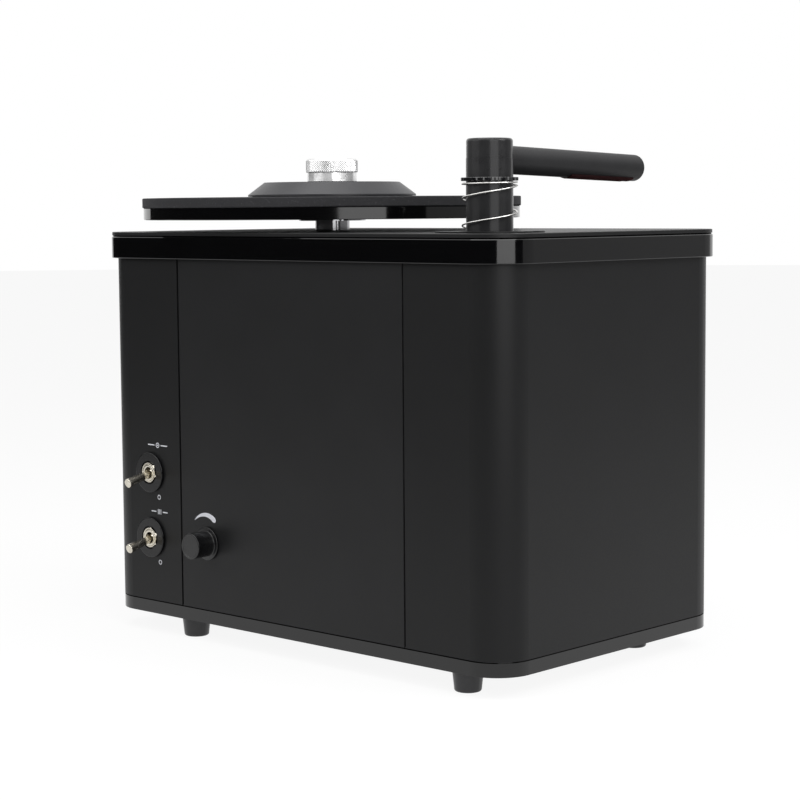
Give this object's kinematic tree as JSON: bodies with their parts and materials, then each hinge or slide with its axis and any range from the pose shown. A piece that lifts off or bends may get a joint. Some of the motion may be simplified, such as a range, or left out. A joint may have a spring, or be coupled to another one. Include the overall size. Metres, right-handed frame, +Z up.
{
  "type": "record cleaning machine",
  "caption": "Box-shaped vinyl record washer with toggle switches and a dial, a turning platter with a screw clamp, and a sprung vacuum arm that sucks the record dry.",
  "frame": {"origin": "centre of the base plate's underside; the feet reach below it", "axes": "+X to the right along the front, +Y to the back, +Z up"},
  "size_m": [0.403, 0.2827, 0.3494],
  "materials": {
    "cabinet_paint": "satin black powder coat",
    "cover_gloss": "gloss black acrylic",
    "deck_paint": "satin black",
    "foot_rubber": "satin moulded rubber",
    "plain_steel": "zinc plated",
    "black_steel": "blackened",
    "strip_aluminium": "as extruded",
    "turned_aluminium": "turned",
    "bearing_bronze": "sintered bronze",
    "washer_nylon": "natural nylon",
    "polished_steel": "polished, with turning streaks",
    "disc_gloss": "gloss black acrylic",
    "disc_matte": "matte, finely speckled charcoal",
    "clamp_black": "satin black",
    "seal_rubber": "soft black rubber",
    "collet_brass": "turned",
    "knob_silver": "knurled and polished",
    "post_black": "satin black",
    "spring_wire": "bright drawn wire",
    "arm_gray": "satin charcoal",
    "velvet_red": "short dark red pile",
    "bush_black": "black acetal",
    "switch_case": "moulded, with a nickel plated thread",
    "disc_trim": "gloss black",
    "nickel": "nickel plated",
    "knob_black": "satin black",
    "motor_gray": "gray paint",
    "blower_case": "die cast",
    "tank_plastic": "milky polyethylene",
    "hose_black": "black hose",
    "inlet_black": "black moulded, nickel pins",
    "board_green": "green board"
  },
  "bodies": {
    "cabinet": {"base_plate": "cover_gloss", "feet": "foot_rubber", "foot_screws": "plain_steel", "machine_screws": "plain_steel", "side_shell_left": "cabinet_paint", "side_shell_right": "cabinet_paint", "front_panel": "cabinet_paint", "rear_panel": "cabinet_paint", "joint_strips": "strip_aluminium", "top_cover": "cover_gloss", "top_plate": "deck_paint", "spindle_bearing": "turned_aluminium", "bearing_bushes": "bearing_bronze", "thrust_washer": "washer_nylon", "gear_motor": "motor_gray", "motor_plate": "strip_aluminium", "motor_standoffs": "plain_steel", "post_ring": "deck_paint", "post_guide": "turned_aluminium", "switch_discs": "disc_trim", "switch_bodies": "switch_case", "panel_nuts": "nickel", "level_pot_body": "plain_steel", "fluid_tank": "tank_plastic", "tank_lid": "tank_plastic", "tank_seal": "seal_rubber", "vacuum_motor": "blower_case", "vacuum_motor_mount": "seal_rubber", "vacuum_hose": "hose_black", "drain_fitting": "nickel", "drain_hose": "hose_black", "mains_inlet": "inlet_black", "inlet_screws": "black_steel", "control_board": "board_green", "board_heatsink": "strip_aluminium"},
    "platter": {"platter_hub": "polished_steel", "platter_lower_disc": "disc_gloss", "platter_upper_disc": "disc_matte", "record_pin": "polished_steel", "shaft_coupling": "turned_aluminium", "gear_motor_shaft": "plain_steel"},
    "clamp": {"clamp_cone": "clamp_black", "clamp_seal": "seal_rubber", "clamp_collet": "collet_brass"},
    "clamp_nut": {"clamp_knob": "knob_silver"},
    "swivel": {"turning_bush": "bush_black", "arm_spring": "spring_wire"},
    "arm": {"post_tube": "post_black", "post_cap": "post_black", "arm_elbow": "bush_black", "post_collar": "polished_steel", "post_stop_ring": "plain_steel", "arm_tube": "arm_gray", "arm_tip": "arm_gray", "velvet_strips": "velvet_red"},
    "turntable_switch": {"turntable_switch_lever": "nickel"},
    "vacuum_switch": {"vacuum_switch_lever": "nickel"},
    "level_control": {"level_knob": "knob_black", "level_pot_shaft": "plain_steel"},
    "drain_stopper": {"drain_cap": "hose_black"}
  },
  "joints": [
    {"name": "platter_spin", "type": "hinge", "parent": "cabinet", "child": "platter", "pos_m": [-0.0705, 0, 0.3], "axis": [0, 0, 1], "continuous": true},
    {"name": "clamp_lift", "type": "slide", "parent": "platter", "child": "clamp", "axis": [0, 0, 1], "range_m": [0, 0.04]},
    {"name": "clamp_tighten", "type": "hinge", "parent": "clamp", "child": "clamp_nut", "pos_m": [-0.0705, 0, 0.32], "axis": [0, 0, 1], "range_deg": [-270, 0]},
    {"name": "arm_swing", "type": "hinge", "parent": "cabinet", "child": "swivel", "pos_m": [0.146, -0.076, 0.3], "axis": [0, 0, 1], "range_deg": [0, 66]},
    {"name": "arm_press", "type": "slide", "parent": "swivel", "child": "arm", "axis": [0, 0, -1], "range_m": [0, 0.0065], "stiffness_N_per_m": 300, "springref_m": -0.02, "deforming": ["arm_spring"]},
    {"name": "turntable_switch_throw", "type": "hinge", "parent": "cabinet", "child": "turntable_switch", "pos_m": [-0.1415, -0.115, 0.103], "axis": [-1, 0, 0], "range_deg": [0, 28]},
    {"name": "vacuum_switch_throw", "type": "hinge", "parent": "cabinet", "child": "vacuum_switch", "pos_m": [-0.1415, -0.115, 0.0556], "axis": [-1, 0, 0], "range_deg": [0, 28]},
    {"name": "level_knob_turn", "type": "hinge", "parent": "cabinet", "child": "level_control", "pos_m": [-0.0807, -0.1175, 0.0575], "axis": [0, 1, 0], "range_deg": [-150, 150]},
    {"name": "drain_cap_pull", "type": "slide", "parent": "cabinet", "child": "drain_stopper", "axis": [0, 1, 0], "range_m": [0, 0.02]}
  ]
}
